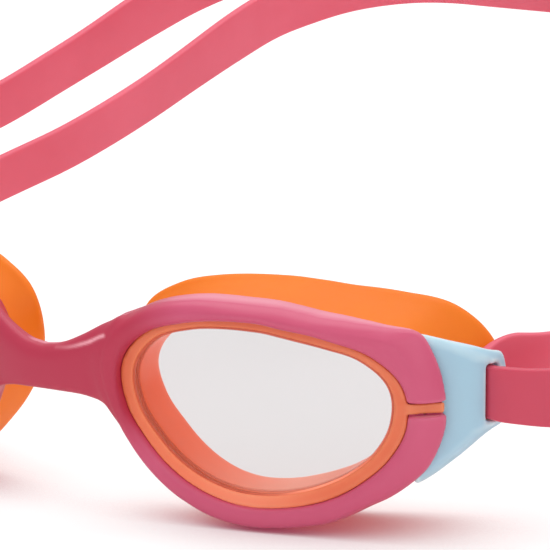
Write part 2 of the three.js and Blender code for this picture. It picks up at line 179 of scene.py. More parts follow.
def from_cup(angle, radius, depth):
    turn = np.radians(angle)
    across = CUP_ACROSS + radius * np.cos(turn)
    across, z, depth = np.broadcast_arrays(across, CUP_Z + radius * np.sin(turn), depth)
    return np.stack([NOSE_X + WRAP_COS * across - WRAP_SIN * depth,
                     NOSE_Y + WRAP_SIN * across + WRAP_COS * depth, z], -1)


# ---------------------------------------------------------------------- curves
def catmull(points, per, closed=False):
    """Centripetal curve through points, with `per` samples between neighbours."""
    points = np.asarray(points, float)
    if closed:
        points = np.concatenate([points[-1:], points, points[:2]])
    else:
        points = np.concatenate([2 * points[:1] - points[1:2], points,
                                 2 * points[-1:] - points[-2:-1]])
    curve = []
    for i in range(len(points) - 3):
        near = points[i:i + 4]
        lengths = np.linalg.norm(np.diff(near, axis=0), axis=1)
        knots = np.r_[0, np.cumsum(np.maximum(lengths, 1e-6) ** 0.5)]
        at = np.linspace(knots[1], knots[2], per, endpoint=False)[:, None]
        # three rounds of blending between knots bring four points down to one
        for spans in (((0, 1), (1, 2), (2, 3)), ((0, 2), (1, 3)), ((1, 2),)):
            near = [((knots[j] - at) * near[k] + (at - knots[i]) * near[k + 1])
                    / (knots[j] - knots[i]) for k, (i, j) in enumerate(spans)]
        curve.append(near[0])
    if not closed:
        curve.append(points[-2:-1])
    return np.concatenate(curve)


def lengths_along(curve):
    return np.r_[0, np.cumsum(np.linalg.norm(np.diff(curve, axis=0), axis=1))]


def resample(curve, count, closed=False):
    """The curve with points at equal spacing."""
    if closed:
        curve = np.concatenate([curve, curve[:1]])
    along = lengths_along(curve)
    places = np.linspace(0, along[-1], count, endpoint=not closed)
    return np.stack([np.interp(places, along, column) for column in curve.T], -1)


def cut_corners(points, times=2):
    points = np.asarray(points, float)
    for _ in range(times):
        after = np.roll(points, -1, 0)
        points = np.stack([0.75 * points + 0.25 * after, 0.25 * points + 0.75 * after], 1)
        points = points.reshape(-1, 2)
    return points


def polygon(points):
    """Signed distance to a closed polygon, as a function of two arrays."""
    ends = np.roll(points, -1, 0)

    def distance(x, y):
        x, y = np.broadcast_arrays(x, y)
        best = np.full(x.shape, 1e9)
        odd = np.zeros(x.shape, bool)
        for (start_x, start_y), (end_x, end_y) in zip(points, ends):
            run_x, run_y = end_x - start_x, end_y - start_y
            dx, dy = x - start_x, y - start_y
            share = (dx * run_x + dy * run_y) / (run_x * run_x + run_y * run_y + 1e-12)
            share = np.clip(share, 0, 1)
            best = np.minimum(best, (dx - run_x * share) ** 2 + (dy - run_y * share) ** 2)
            if abs(run_y) > 1e-12:
                spans = (start_y > y) != (end_y > y)
                odd ^= spans & (x < run_x * (y - start_y) / run_y + start_x)
        return np.sqrt(best) * np.where(odd, -1.0, 1.0)
    return distance


# ---------------------------------------------------------------------- meshes
class Neighbours:
    """The edges of a mesh, for averaging round each vertex."""

    def __init__(self, faces, count):
        edges = np.concatenate([faces[:, [k, (k + 1) % 4]] for k in range(4)])
        self.first, self.second = edges[edges[:, 0] != edges[:, 1]].T
        self.count = count
        self.links = np.maximum(np.bincount(self.first, minlength=count)
                                + np.bincount(self.second, minlength=count), 1)

    def over_edges(self, to_first, to_second):
        """Mean at each vertex of what its edges bring to their two ends."""
        return (np.bincount(self.first, to_first, self.count)
                + np.bincount(self.second, to_second, self.count)) / self.links

    def mean(self, values):
        if values.ndim == 2:
            return np.stack([self.mean(column) for column in values.T], 1)
        return self.over_edges(values[self.second], values[self.first])


def surface_nets(field, low, high, step, mirrored=False):
    """Surface of field < 0 as quads: surface nets on a grid, then settled on the surface."""
    low, high = np.asarray(low, float), np.asarray(high, float)
    counts = np.ceil((high - low) / step).astype(int) + 1
    axes = [low[k] + step * np.arange(counts[k]) for k in range(3)]
    if mirrored:
        axes[0] = step * (np.arange(counts[0]) + 0.5)
    values = np.empty(counts, np.float32)
    for i in range(0, counts[0], 16):
        block = np.meshgrid(axes[0][i:i + 16], axes[1], axes[2], indexing="ij")
        values[i:i + 16] = field(*block)
    if mirrored:
        values = np.concatenate([values[::-1], values])
        low = np.array([-axes[0][-1], low[1], low[2]])
        counts = np.array(values.shape)

    # one vertex in each cell the surface passes through
    inside = values < 0
    filled = np.zeros(counts - 1, np.int8)
    for corner in np.ndindex(2, 2, 2):
        filled += inside[tuple(slice(k, n - 1 + k) for k, n in zip(corner, counts))]
    cells = np.stack(np.nonzero((filled > 0) & (filled < 8)), 1)
    index = np.full(counts - 1, -1, np.int64)
    index[tuple(cells.T)] = np.arange(len(cells))
    points, hits = np.zeros((len(cells), 3)), np.zeros(len(cells))
    for axis in range(3):
        for corner in np.ndindex(2, 2):
            ends = [np.insert(corner, axis, k) for k in (0, 1)]
            near, far = (values[tuple((cells + end).T)].astype(float) for end in ends)
            crossed = (near < 0) != (far < 0)
            spots = np.tile(ends[0].astype(float), (crossed.sum(), 1))
            spots[:, axis] = near[crossed] / (near[crossed] - far[crossed])
            points[crossed] += spots
            hits[crossed] += 1
    points = (points / hits[:, None] + cells) * step + low

    # one face round each grid edge the surface crosses
    faces = []
    for axis in range(3):
        near, far = [slice(1, -1)] * 3, [slice(1, -1)] * 3
        near[axis], far[axis] = slice(0, -1), slice(1, None)
        starts, ends = inside[tuple(near)], inside[tuple(far)]
        edges = np.stack(np.nonzero(starts != ends), 1)
        quads = []
        for shift in ((-1, -1), (0, -1), (0, 0), (-1, 0)):
            cell = edges + (np.arange(3) != axis)
            cell[:, [(axis + 1) % 3, (axis + 2) % 3]] += shift
            quads.append(index[tuple(cell.T)])
        quads = np.stack(quads, 1)
        flip = ~starts[tuple(edges.T)]
        quads[flip] = quads[flip][:, ::-1]
        faces.append(quads)
    faces = np.concatenate(faces)

    def distance(spots):
        x = np.abs(spots[:, 0]) if mirrored else spots[:, 0]
        return field(x, spots[:, 1], spots[:, 2])

    def settle(spots, reach=0.04):
        slope = np.stack([(distance(spots + nudge) - distance(spots - nudge)) / (2 * reach)
                          for nudge in np.eye(3) * reach], 1)
        steepness = np.maximum((slope * slope).sum(1), 0.25)
        move = -distance(spots)[:, None] * slope / steepness[:, None]
        size = np.linalg.norm(move, axis=1, keepdims=True)
        return spots + move * np.minimum(1, 0.4 * step / np.maximum(size, 1e-9))

    neighbours = Neighbours(faces, len(points))
    for _ in range(2):
        points = points + 0.6 * (neighbours.mean(points) - points)
        points = settle(settle(points))
    # smooth in turns inwards and outwards, so that nothing shrinks
    for pull in (0.6, -0.5) * 4:
        points = points + pull * (neighbours.mean(points) - points)
    return points, faces


def grid_faces(rows, columns, closed_rows=True, closed_columns=True):
    i, j = np.meshgrid(np.arange(rows if closed_rows else rows - 1),
                       np.arange(columns if closed_columns else columns - 1), indexing="ij")
    i, j = i.ravel(), j.ravel()
    here, below = i * columns, (i + 1) % rows * columns
    beside = (j + 1) % columns
    return np.stack([here + j, below + j, below + beside, here + beside], 1)


def is_triangle(faces):
    """Triangles are stored as quads that repeat their third corner."""
    return faces[:, 2] == faces[:, 3]


def outward(points, faces):
    """Turns the faces so that a closed mesh's volume is positive."""
    first, second, third, fourth = (points[faces[:, k]] for k in range(4))
    volume = (np.einsum("ij,ij->i", first, np.cross(second, third))
              + np.einsum("ij,ij->i", first, np.cross(third, fourth))).sum()
    if volume > 0:
        return faces
    return np.where(is_triangle(faces)[:, None], faces[:, [1, 0, 2, 2]], faces[:, ::-1])


def curvature(points, faces):
    """Smoothed curvature in 1/mm: above zero on edges, below in hollows."""
    count = len(points)
    corners = [points[faces[:, k]] for k in range(4)]
    face_normals = np.cross(corners[2] - corners[0], corners[3] - corners[1])
    normals = np.zeros((count, 3))
    for k in range(4):
        for j in range(3):
            normals[:, j] += np.bincount(faces[:, k], face_normals[:, j], count)
    normals /= np.maximum(np.linalg.norm(normals, axis=1, keepdims=True), 1e-12)
    neighbours = Neighbours(faces, count)
    lean = ((neighbours.mean(points) - points) * normals).sum(1)
    squares = ((points[neighbours.first] - points[neighbours.second]) ** 2).sum(1)
    spacing = neighbours.over_edges(squares, squares)
    curve = np.clip(-4 * lean / np.maximum(spacing, 1e-6), -2.5, 2.5)
    for _ in range(14):
        curve = 0.4 * curve + 0.6 * neighbours.mean(curve)
    return curve


def add_piece(name, shape, material, replaces, side=1, values=None):
    """An object from (points, faces), mirrored to the right for side -1.
    values are vertex attributes for its material; `curve` is added to them."""
    points, faces = shape
    values = {**(values or {}), "curve": curvature(points, faces)}
    if side < 0:
        points = points * [-1, 1, 1]
        faces = faces[:, ::-1]
    points = (points - [0, ORIGIN_Y, ORIGIN_Z]) * MM
    mesh = bpy.data.meshes.new(name)
    mesh.vertices.add(len(points))
    mesh.vertices.foreach_set("co", points.astype(np.float32).ravel())
    used = np.ones(faces.shape, bool)
    used[is_triangle(faces), 3] = False
    corners = faces[used]
    starts = np.r_[0, np.cumsum(used.sum(1))[:-1]]
    mesh.loops.add(len(corners))
    mesh.loops.foreach_set("vertex_index", corners.astype(np.int32))
    mesh.polygons.add(len(faces))
    mesh.polygons.foreach_set("loop_start", starts.astype(np.int32))
    mesh.polygons.foreach_set("use_smooth", np.ones(len(faces), bool))
    mesh.update(calc_edges=True)
    mesh.validate()
    for key, numbers in values.items():
        attribute = mesh.attributes.new(key, "FLOAT", "POINT")
        attribute.data.foreach_set("value", np.asarray(numbers, np.float32))
    piece = bpy.data.objects.new(name, mesh)
    bpy.context.scene.collection.objects.link(piece)
    mesh.materials.append(material)
    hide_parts(*replaces)
    return piece


def add_pair(name, shape, material, replaced, values=None):
    """The left piece as given and its mirror on the right, both riding on the goggles."""
    for side, tag in ((1, "_left"), (-1, "_right")):
        piece = add_piece(name + tag, shape, material, [replaced + tag], side, values)
        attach(piece, "goggles")


# ------------------------------------------------------------------- materials
WHITE = (1, 1, 1, 1)


def srgb(*channels):
    return tuple(c / 255 / 12.92 if c <= 10 else ((c / 255 + 0.055) / 1.055) ** 2.4
                 for c in channels) + (1.0,)


class Nodes:
    """The shader nodes of a material or world. Sockets and plain values both work as inputs."""

    def __init__(self, owner, output="OutputMaterial"):
        owner.use_nodes = True
        self.owner, self.tree = owner, owner.node_tree
        self.tree.nodes.clear()
        self.output = self.tree.nodes.new("ShaderNode" + output)

    def new(self, kind, inputs=None, output=0, **settings):
        """Adds a node and returns one of its output sockets."""
        node = self.tree.nodes.new("ShaderNode" + kind)
        for key, value in settings.items():
            setattr(node, key, value)
        for key, value in (inputs or {}).items():
            if isinstance(value, bpy.types.NodeSocket):
                self.tree.links.new(value, node.inputs[key])
            else:
                node.inputs[key].default_value = value
        return node.outputs[output]

    def finish(self, surface):
        self.tree.links.new(surface, self.output.inputs["Surface"])
        return self.owner

    def noise(self, scale, detail, roughness):
        place = self.new("TexCoord", output="Object")
        return self.new("TexNoise", {"Scale": scale, "Detail": detail, "Roughness": roughness,
                                     "Vector": place}, "Fac")

    def ramp(self, fac, stops):
        color = self.new("ValToRGB", {"Fac": fac})
        elements = color.node.color_ramp.elements
        elements.remove(elements[-1])
        elements[0].position, elements[0].color = stops[0]
        for position, stop_color in stops[1:]:
            elements.new(position).color = stop_color
        return color

    def remap(self, value, source, to):
        return self.new("MapRange", {
            "From Min": source[0], "From Max": source[1],
            "To Min": to[0], "To Max": to[1], "Value": value})

    def mix(self, fac, first, second, mode="MIX"):
        return self.new("Mix", {0: fac, 6: first, 7: second}, 2,
                        data_type="RGBA", blend_type=mode)

    def mix_shader(self, fac, first, second):
        return self.new("MixShader", {0: fac, 1: first, 2: second})

    def attribute(self, name):
        return self.new("Attribute", None, "Fac", attribute_type="GEOMETRY", attribute_name=name)

    def math(self, operation, first, second):
        return self.new("Math", {0: first, 1: second}, operation=operation)


def soft_plastic(name, color, dark, light, roughness, edge, hollow=0.45, grain=1.0,
                 subsurface=0.0, radius=(0.004, 0.001, 0.001), coat=0.0, specular=0.5,
                 tone=None, crest=None, streak=None,
                 glow=0.0, glow_color=None, glow_at=None, glow_pale=None):
    """Moulded plastic or silicone: cloudy pigment, faint grain, edges painted lighter as
    highlights.

    edge: curvature where the painted edge highlight starts and is full, and how much it lightens
    crest: upward normal where the painted top highlight in the light colour starts and is full,
    and how much
    hollow: how much painted shade darkens hollows; radius: subsurface reach in metres
    tone, streak: (attribute, colour) mixed in where the attribute is one; tone paints shade,
    streak paints a highlight
    glow: strength of a painted glow, emission standing in for light carried inside; glow_at:
    attribute that scales it
    glow_pale: (attribute, colour) mixed into glow_color for a paler painted glow
    """
    nodes = Nodes(bpy.data.materials.new(name))
    cloud = nodes.noise(scale=38, detail=4, roughness=0.55)
    base = nodes.mix(nodes.remap(cloud, (0.36, 0.64), to=(0.0, 1.0)), dark, color)
    if tone:
        base = nodes.mix(nodes.attribute(tone[0]), base, tone[1])
    # painted highlight: rounded edges are mixed towards the light colour, broken up by patches
    patches = nodes.noise(scale=260, detail=3, roughness=0.6)
    painted_edge_light = nodes.math("MULTIPLY",
                      nodes.remap(nodes.attribute("curve"), edge[:2], to=(0.0, edge[2])),
                      nodes.remap(patches, (0.3, 0.6), to=(0.7, 1.0)))
    base = nodes.mix(painted_edge_light, base, light)
    # painted highlight: faces that turn upwards are lighter, as if lit from above
    if crest:
        normal = nodes.new("NewGeometry", output="Normal")
        upward = nodes.new("SeparateXYZ", {0: normal}, 2)
        base = nodes.mix(nodes.remap(upward, crest[:2], to=(0.0, crest[2])), base, light)
    if streak:
        base = nodes.mix(nodes.attribute(streak[0]), base, streak[1])
    # painted shade: hollows are mixed towards a darker, redder copy of the colour
    shade = nodes.mix(1.0, base, (0.62, 0.42, 0.42, 1), "MULTIPLY")
    base = nodes.mix(nodes.remap(nodes.attribute("curve"), (-1.6, -0.3), to=(hollow, 0.0)),
                     base, shade)
    speck = nodes.noise(scale=900, detail=2, roughness=0.6)
    mottle = nodes.math("ADD", nodes.math("MULTIPLY", cloud, 0.6),
                        nodes.math("MULTIPLY", speck, 0.4))
    fine_bump = nodes.new("Bump", {
        "Strength": 0.07 * grain, "Distance": 0.0002,
        "Height": nodes.noise(scale=1800, detail=3, roughness=0.6)})
    wave_bump = nodes.new("Bump", {
        "Strength": 0.04 * grain, "Distance": 0.002,
        "Height": nodes.noise(scale=55, detail=2, roughness=0.5), "Normal": fine_bump})
    inputs = {
        "Base Color": base, "Normal": wave_bump,
        "Roughness": nodes.remap(mottle, (0.3, 0.7), to=(roughness - 0.06, roughness + 0.07)),
        "Subsurface Weight": subsurface, "Subsurface Radius": radius, "Subsurface Scale": 1.0,
        "Coat Weight": coat, "Coat Roughness": 0.2,
        "IOR": 1.47, "Specular IOR Level": specular}
    # painted glow: emission stands in for light passing through the silicone
    if glow:
        if glow_pale:
            glow_color = nodes.mix(nodes.attribute(glow_pale[0]), glow_color, glow_pale[1])
        inputs["Emission Color"] = glow_color
        if glow_at:
            strength = nodes.math("MULTIPLY", nodes.attribute(glow_at), glow)
        else:
            strength = nodes.remap(cloud, (0.3, 0.7), to=(0.9 * glow, 1.1 * glow))
        inputs["Emission Strength"] = strength
    return nodes.finish(nodes.new("BsdfPrincipled", inputs))


# painted light: shade on the bridge and in hollows, highlights on the top, the edges and beside
# the bridge
FRAME_PLASTIC = soft_plastic(
    "frame_plastic", color=srgb(213, 90, 124), dark=srgb(208, 83, 117),
    light=srgb(248, 165, 182), roughness=0.34, coat=0.05, specular=0.42,
    edge=(0.75, 2.4, 0.4), hollow=0.2, crest=(0.935, 0.997, 0.64), grain=0.15,
    tone=("deep", srgb(189, 50, 78)), streak=("shine", srgb(255, 176, 188)))
# painted light: a glow on the tunnel wall and the ring's lower face, edge highlights and shade in
# hollows
CARRIER_PLASTIC = soft_plastic(
    "carrier_plastic", color=srgb(236, 117, 78), dark=srgb(231, 108, 68),
    light=srgb(252, 166, 116), roughness=0.34, edge=(0.4, 2.2, 0.5), hollow=0.2,
    subsurface=0.15, radius=(0.004, 0.0016, 0.0008), glow=0.31, glow_at="wall",
    glow_color=srgb(255, 108, 60), glow_pale=("pale", srgb(255, 212, 190)))
# painted light: a glow as if lit through the silicone, edge highlights and shade in hollows
SEAL_SILICONE = soft_plastic(
    "seal_silicone", color=srgb(221, 114, 7), dark=srgb(217, 107, 4),
    light=srgb(236, 170, 64), roughness=0.5, specular=0.3, edge=(0.5, 1.6, 0.5), hollow=0.2,
    subsurface=0.2, radius=(0.005, 0.002, 0.0006), glow=0.19, glow_color=srgb(255, 140, 48))
# painted light: highlights on the tops and edges of the end pieces and buckle, shade in hollows
BLUE_PLASTIC = soft_plastic(
    "end_piece_plastic", color=srgb(174, 209, 227), dark=srgb(168, 203, 221),
    light=srgb(226, 241, 244), roughness=0.42, edge=(0.3, 1.2, 0.7),
    crest=(0.82, 0.99, 0.7), subsurface=0.1, radius=(0.001, 0.0015, 0.002))
# painted light: shade on the outer runs by the slots, edge highlights and shade in hollows
STRAP_SILICONE = soft_plastic(
    "strap_silicone", color=srgb(230, 99, 120), dark=srgb(225, 91, 112),
    light=srgb(238, 124, 144), roughness=0.42, edge=(0.5, 3.0, 0.5), subsurface=0.18,
    tone=("deep", srgb(206, 70, 94)))


def lens_material():
    """Thin clear polycarbonate: see-through with a grey cast and a reflective coat."""
    nodes = Nodes(bpy.data.materials.new("lens_polycarbonate"))
    tint = nodes.ramp(nodes.noise(scale=14, detail=2, roughness=0.5),
                      [(0.3, (0.893, 0.888, 0.890, 1)), (0.7, (0.905, 0.900, 0.902, 1))])
    haze = nodes.noise(scale=120, detail=3, roughness=0.6)
    gloss = nodes.new("BsdfGlossy", {
        "Color": WHITE, "Roughness": nodes.remap(haze, (0.3, 0.7), to=(0.03, 0.09))})
    mirror = nodes.math("MULTIPLY", nodes.new("Fresnel", {"IOR": 1.25}), 0.8)
    clear = nodes.mix_shader(mirror, nodes.new("BsdfTransparent", {"Color": tint}), gloss)
    # painted shade: a darker line on the lens rim stands in for the shade and refraction at the
    # lens edge; its side gets a lighter colour and a painted glow
    painted_rim_shade = nodes.ramp(nodes.noise(scale=420, detail=2, roughness=0.6),
                      [(0.3, srgb(204, 82, 52)), (0.7, srgb(215, 96, 66))])
    seat = nodes.new("BsdfPrincipled", {
        "Base Color": nodes.mix(nodes.attribute("flank"), painted_rim_shade, srgb(240, 142, 110)),
        "Roughness": 0.4, "Emission Color": srgb(255, 158, 128),
        "Emission Strength": nodes.math("MULTIPLY", nodes.attribute("flank"), 0.42)})
    return nodes.finish(nodes.mix_shader(nodes.attribute("seat"), clear, seat))


LENS_PLASTIC = lens_material()

# ---------------------------------------------------------------- front frame
SHARES = np.linspace(0, 1, 201)            # from the lip's start to the frame's outline


def lip_profile(stations):
    """The three depth columns read at SHARES, and evened-out slopes of the first two."""
    curve = resample(catmull(stations, 20), 400)
    columns = [np.interp(SHARES, curve[:, 0], curve[:, k]) for k in (1, 2, 3)]
    for column in columns[:2]:
        slope = np.gradient(column, SHARES)
        padded = np.concatenate([np.full(16, slope[0]), slope, np.full(16, slope[-1])])
        columns.append(np.convolve(padded, bell(33), "valid"))
    return columns


# share, part of the lip's height, part of the outline's depth, extra depth
STEEP_LIP = lip_profile([
    [0, 0.02, 0, 0.18], [0.05, 0.44, 0, 0.08], [0.14, 0.80, 0, 0], [0.36, 1.0, 0, 0],
    [0.66, 0.64, 0.36, 0], [0.88, 0.22, 0.78, 0.05], [1.0, 0, 1.0, 0.35], [1.1, -0.1, 1.15, 0.8]])
# where the lip grows gently out of the carrier's face instead of standing proud
GENTLE_LIP = lip_profile([
    [0, 0.06, 0, 0.10], [0.05, 0.25, 0, 0.03], [0.16, 0.66, 0, 0], [0.36, 1.0, 0, 0],
    [0.56, 1.04, 0.04, 0], [0.74, 0.92, 0.18, 0], [0.88, 0.66, 0.48, 0.05],
    [1.0, 0.3, 0.9, 0.3], [1.1, 0.1, 1.15, 0.8]])

# left half of the nose bridge: x, top z, bottom z, y of the face
BRIDGE = resample(catmull([
    [0, 29.35, 21.3, 0], [3.4, 29.9, 21.25, 0.1], [7.4, 31.7, 21.0, 0.6],
    [10.8, 33.6, 20.1, 1.4], [12.8, 34.2, 19.3, 1.9]], 12), 160)
BRIDGE = np.concatenate([BRIDGE, [[15.5, *(BRIDGE[-1, 1:] + [0.9, -0.9, 0.5])]]])
# highlight along the upper edge beside the bridge: x, z
SHOULDER = resample(catmull([
    [2.9, 29.15], [5.4, 29.45], [7.6, 30.1], [9.6, 30.85], [11.2, 31.7], [12.2, 32.1]], 12), 60)


def rib_place(across):
    """Height and front depth of the carrier's rib, which lies in a groove of the frame."""
    height = np.interp(across, [51.0, 54.2, 57.6], [23.3, 23.5, 23.7])
    front = (-0.02 - 0.5 * smooth_step(across, 50.3, 52.8)
             + np.maximum(0, across - 51.9) * 0.41)
    return height, front


def lip_shape(profile, share, height, edge):
    """Depth of the front face and its slope over the share."""
    parts = [np.interp(share, SHARES, column) for column in profile]
    return (height * parts[0] + edge * parts[1] + parts[2],
            height * parts[3] + edge * parts[4])


def bridge_field(x, y, z):
    x = np.abs(x)
    top, bottom, face = (np.interp(x, BRIDGE[:, 0], BRIDGE[:, k]) for k in (1, 2, 3))
    middle, tall, half = (top + bottom) / 2, (top - bottom) / 2, BRIDGE_DEPTH / 2
    back, up = (y - face - half) / half, (z - middle) / tall
    bar = (np.abs(back) ** 2.6 + np.abs(up) ** 2.6 + 1e-9) ** (1 / 2.6)
    # turned from a share of the section into an approximate distance
    bar = (bar - 1) * half * np.sqrt(
        (back ** 2 + up ** 2 + 1e-9) / (back ** 2 + (up * half / tall) ** 2 + 1e-9)) * 0.9
    return soft_max(bar, x - 14.0, 1.0)


def frame_field(x, y, z):
    across, depth, radius, angle = to_cup(x, y, z)
    ring, outline = at_angle(RING_OUT, angle) + 0.02, at_angle(FRAME_OUT, angle)
    height, edge = -at_angle(LIP_PROUD, angle), at_angle(EDGE_DEPTH, angle)
    rear_outer, rear_inner = at_angle(REAR_OUTER, angle), at_angle(REAR_INNER, angle)
    start = ring - at_angle(LIP_OVER, angle)
    wide = outline - start
    share = np.clip((radius - start) / wide, 0, 1)
    steep = at_angle(LIP_STEEP, angle)
    front, slope = (
        steep * proud + (1 - steep) * gentle for proud, gentle in zip(
            lip_shape(STEEP_LIP, share, height, edge),
            lip_shape(GENTLE_LIP, share, height, edge)))
    slope = 1.1 * np.tanh(slope / wide / 1.1)
    # a shallow crease where the temple panel starts to wrap back
    crease = hump(angle, 33, 15.0)
    front = (front + 0.18 * crease * hump(share, 0.42, 0.10)
             - 0.10 * crease * hump(share, 0.62, 0.13))
    rear = rear_inner + (rear_outer - rear_inner) * smooth_step(radius, ring + 0.8, outline - 0.6)
    rounding = np.clip(0.42 * (rear_outer - edge), 0.35, 1.1 + 1.1 * steep)
    body = soft_max((front - depth) / np.sqrt(1 + slope ** 2), radius - outline, rounding)
    body = soft_max(body, depth - rear, np.clip(rounding, 0.3, 0.8))
    body = soft_min(body, bridge_field(x, y, z), 3.2)
    # opening for the carrier ring, narrowed in front by the lip
    opening = ring - (ring - start) * smooth_step(-depth, 0.05, 0.7)
    body = soft_max(body, opening - radius, 0.2 + 0.35 * steep)
    # groove for the carrier's rib
    rib_z, rib_front = rib_place(across)
    groove = np.maximum(np.abs(z - rib_z + 0.12) - 1.16, 50.6 - across)
    groove = np.maximum(groove, depth - rib_front - 0.8)
    groove = np.maximum(groove, across - 61.5)
    groove = np.maximum(groove, (radius - outline) - 4)
    return soft_max(body, -groove, 0.35)


def build_frame():
    points, faces = surface_nets(frame_field, (0, -1.5, -1.2), (72.5, 19.6, 42.2),
                                 0.32, mirrored=True)
    x, y, z = points.T
    # painted shade darkens the bridge and the middle of the frame; a painted highlight streak
    # runs along the shoulder beside the bridge
    deep = (1 - smooth_step(np.abs(x), 16.0, 28.0)) * smooth_step(z, 9.0, 20.0)
    near = np.nonzero((x > 1) & (x < 15) & (z > 27) & (y < 3.4))[0]
    gap = np.hypot(x[near][:, None] - SHOULDER[:, 0], z[near][:, None] - SHOULDER[:, 1])
    shine = np.zeros(len(points))
    shine[near] = hump(gap.min(1), 0, 0.29) * (0.15 + 0.85 * smooth_step(gap.argmin(1), 0, 42))
    frame = add_piece("frame_moulding", (points, faces), FRAME_PLASTIC, ["front_frame"],
                      values={"deep": deep, "shine": shine})
    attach(frame, "goggles")


# ------------------------------------------------------------------- carriers
SEAT_BACK = LENS_FRONT + LENS_THICK + GAP
# ring section: radius from the ring's outside, depth
ring_section = polygon(cut_corners([
    [0, 0.13], [-0.15, 0], [-RING_WIDE + 0.05, 0], [-RING_WIDE - 0.1, 0.12],
    [-RING_WIDE - 0.1, SEAT_BACK], [-RING_WIDE - 0.45, SEAT_BACK + 0.1],
    [-RING_WIDE - 0.97, CARRIER_DEPTH], [-RING_WIDE + 0.5, CARRIER_DEPTH],
    [-RING_WIDE + 0.7, 5.0], [0, 3.9]]))


def carrier_field(x, y, z):
    across, depth, radius, angle = to_cup(x, y, z)
    out = radius - at_angle(RING_OUT, angle)
    plus = at_angle(WALL_PLUS, angle) + at_angle(WELL_PLUS, angle) * smooth_step(depth, 2.5, 10.0)
    ring = ring_section(out + plus * smooth_step(-out, 0.5, 1.9), depth)
    rib_z, rib_front = rib_place(across)
    rib = soft_max(np.abs(z - rib_z) - 0.92, np.abs(depth - rib_front - 0.36) - 0.30, 0.4)
    rib = soft_max(rib, across - 57.6, 0.3)
    rib = np.maximum(rib, 50.0 - across)
    return soft_min(ring, rib, 0.5)


def build_carriers():
    points, faces = surface_nets(carrier_field, (13.0, 3.2, 3.4), (70.6, 25.0, 37.4),
                                 0.27)
    _, depth, radius, angle = to_cup(*points.T)
    out = radius - at_angle(RING_OUT, angle)
    # painted glow: wall makes the tunnel wall behind the lens and the lower part of the ring's
    # face glow; pale makes that glow paler and stronger low on the outer side
    face = 1 - smooth_step(depth, 0.3, 1.2)
    wall = (smooth_step(depth, LENS_FRONT + 1.2, LENS_FRONT + 2.4)
            * (1 - smooth_step(out, -2.0, -1.2)))
    pale = (hump(angle, 292, 55) * smooth_step(depth, LENS_FRONT, LENS_FRONT + 1.5)
            + 0.6 * hump(angle, 262, 50) * face)
    wall = wall * (0.9 + 0.35 * pale) + 0.62 * hump(angle, 252, 62) * face * (np.abs(out) < 4)
    add_pair("carrier_shell", (points, faces), CARRIER_PLASTIC, "carrier",
             {"wall": wall, "pale": pale})


# --------------------------------------------------------------------- lenses
def build_lenses(count=192, edge_round=0.15, set_forward=0.35):
    angles = np.arange(count) * 360 / count
    rim = at_angle(RING_OUT, angles) - RING_WIDE + 0.05 - at_angle(WALL_PLUS, angles)
    front, back = LENS_FRONT - set_forward, LENS_FRONT + LENS_THICK - set_forward
    # half section: share of the rim's radius, offset from it, depth
    section = [(share, 0, front) for share in (0.3, 0.6, 0.85)]
    section += [(1, -inset, front) for inset in (1.6, 1.0, 0.75, 0.62, 0.5, 0.4, 0.3, 0.2)]
    quarter = [(edge_round * math.cos(turn), edge_round * math.sin(turn))
               for turn in np.linspace(0, math.pi / 2, 5)]
    section += [(1, -edge_round + sine, front + edge_round - cosine) for cosine, sine in quarter]
    section += [(1, -edge_round + cosine, back - edge_round + sine) for cosine, sine in quarter]
    section += [(1, -0.8, back), (1, -1.6, back)]
    section += [(share, 0, back) for share in (0.85, 0.6, 0.3)]
    share, offset, depth = np.array(section).T
    size = len(section)
    points = from_cup(angles[:, None], rim[:, None] * share + offset, depth).reshape(-1, 3)

    # seat: the rim band painted as a darker line of shade; flank: its side, given a painted glow,
    # strongest at the lower outer part
    at_rim = share == 1
    seat = np.tile(smooth_step(offset, -0.62, -0.45) * at_rim, count)
    flank = np.tile(1.0 * (at_rim & (offset > -0.19) & (depth > front + 0.1)), count)
    turn = np.repeat(angles, size)
    flank = flank * (0.2 + 0.8 * hump(turn, 285, 62))
    flank = np.maximum(flank, seat * 0.85 * hump(turn, 312, 30))

    # the faces are closed with strips of quads across the middle
    i = np.arange(count // 2 - 1)
    front_cap = np.stack([count - 1 - i, count - 2 - i, i + 1, i], 1) * size
    back_cap = front_cap[:, ::-1] + size - 1
    faces = np.concatenate([grid_faces(count, size, True, False), front_cap, back_cap])
    add_pair("lens_disc", (points, outward(points, faces)), LENS_PLASTIC, "lens",
             {"seat": seat, "flank": flank})


# ---------------------------------------------------------------------- seals
def seal_section(angle):
    """Closed section of the skirt at one angle: radius, depth."""
    ring, out, back, thin = (at_angle(table, angle)
                             for table in (RING_OUT, SEAL_OUT, SEAL_DEPTH, SEAL_THIN))
    root, tip = ring + 0.9, back - 1.3
    outer = [[root + (out - root) * k ** 1.45, 5.2 + (tip - 5.2) * k]
             for k in np.linspace(0.02, 1, 7)]
    edge = [[out - 0.15, back - 0.45], [out - 0.8 + 0.25 * thin, back],
            [out - 1.9 + 0.8 * thin, back - 0.12], [out - 2.7 + 1.2 * thin, back - 0.8]]
    root, tip = ring - 0.9 + 0.7 * thin, out - 2.3 + 0.9 * thin
    inner = [[root + (tip - root) * k ** 1.35, 5.9 + (back - 2.0 - 5.9) * k]
             for k in np.linspace(0.86, 0.05, 6)]
    foot = [[ring - RING_WIDE + 0.85 + 0.2, 5.4], [ring + 0.2, 4.75]]
    return resample(catmull(outer + edge + inner + foot, 6, closed=True), 64, closed=True)


def build_seals(count=240):
    angles = np.arange(count) * 360 / count
    sections = np.array([seal_section(angle) for angle in angles])
    points = from_cup(angles[:, None], sections[..., 0], sections[..., 1]).reshape(-1, 3)
    faces = outward(points, grid_faces(count, sections.shape[1]))
    add_pair("seal_skirt", (points, faces), SEAL_SILICONE, "seal")


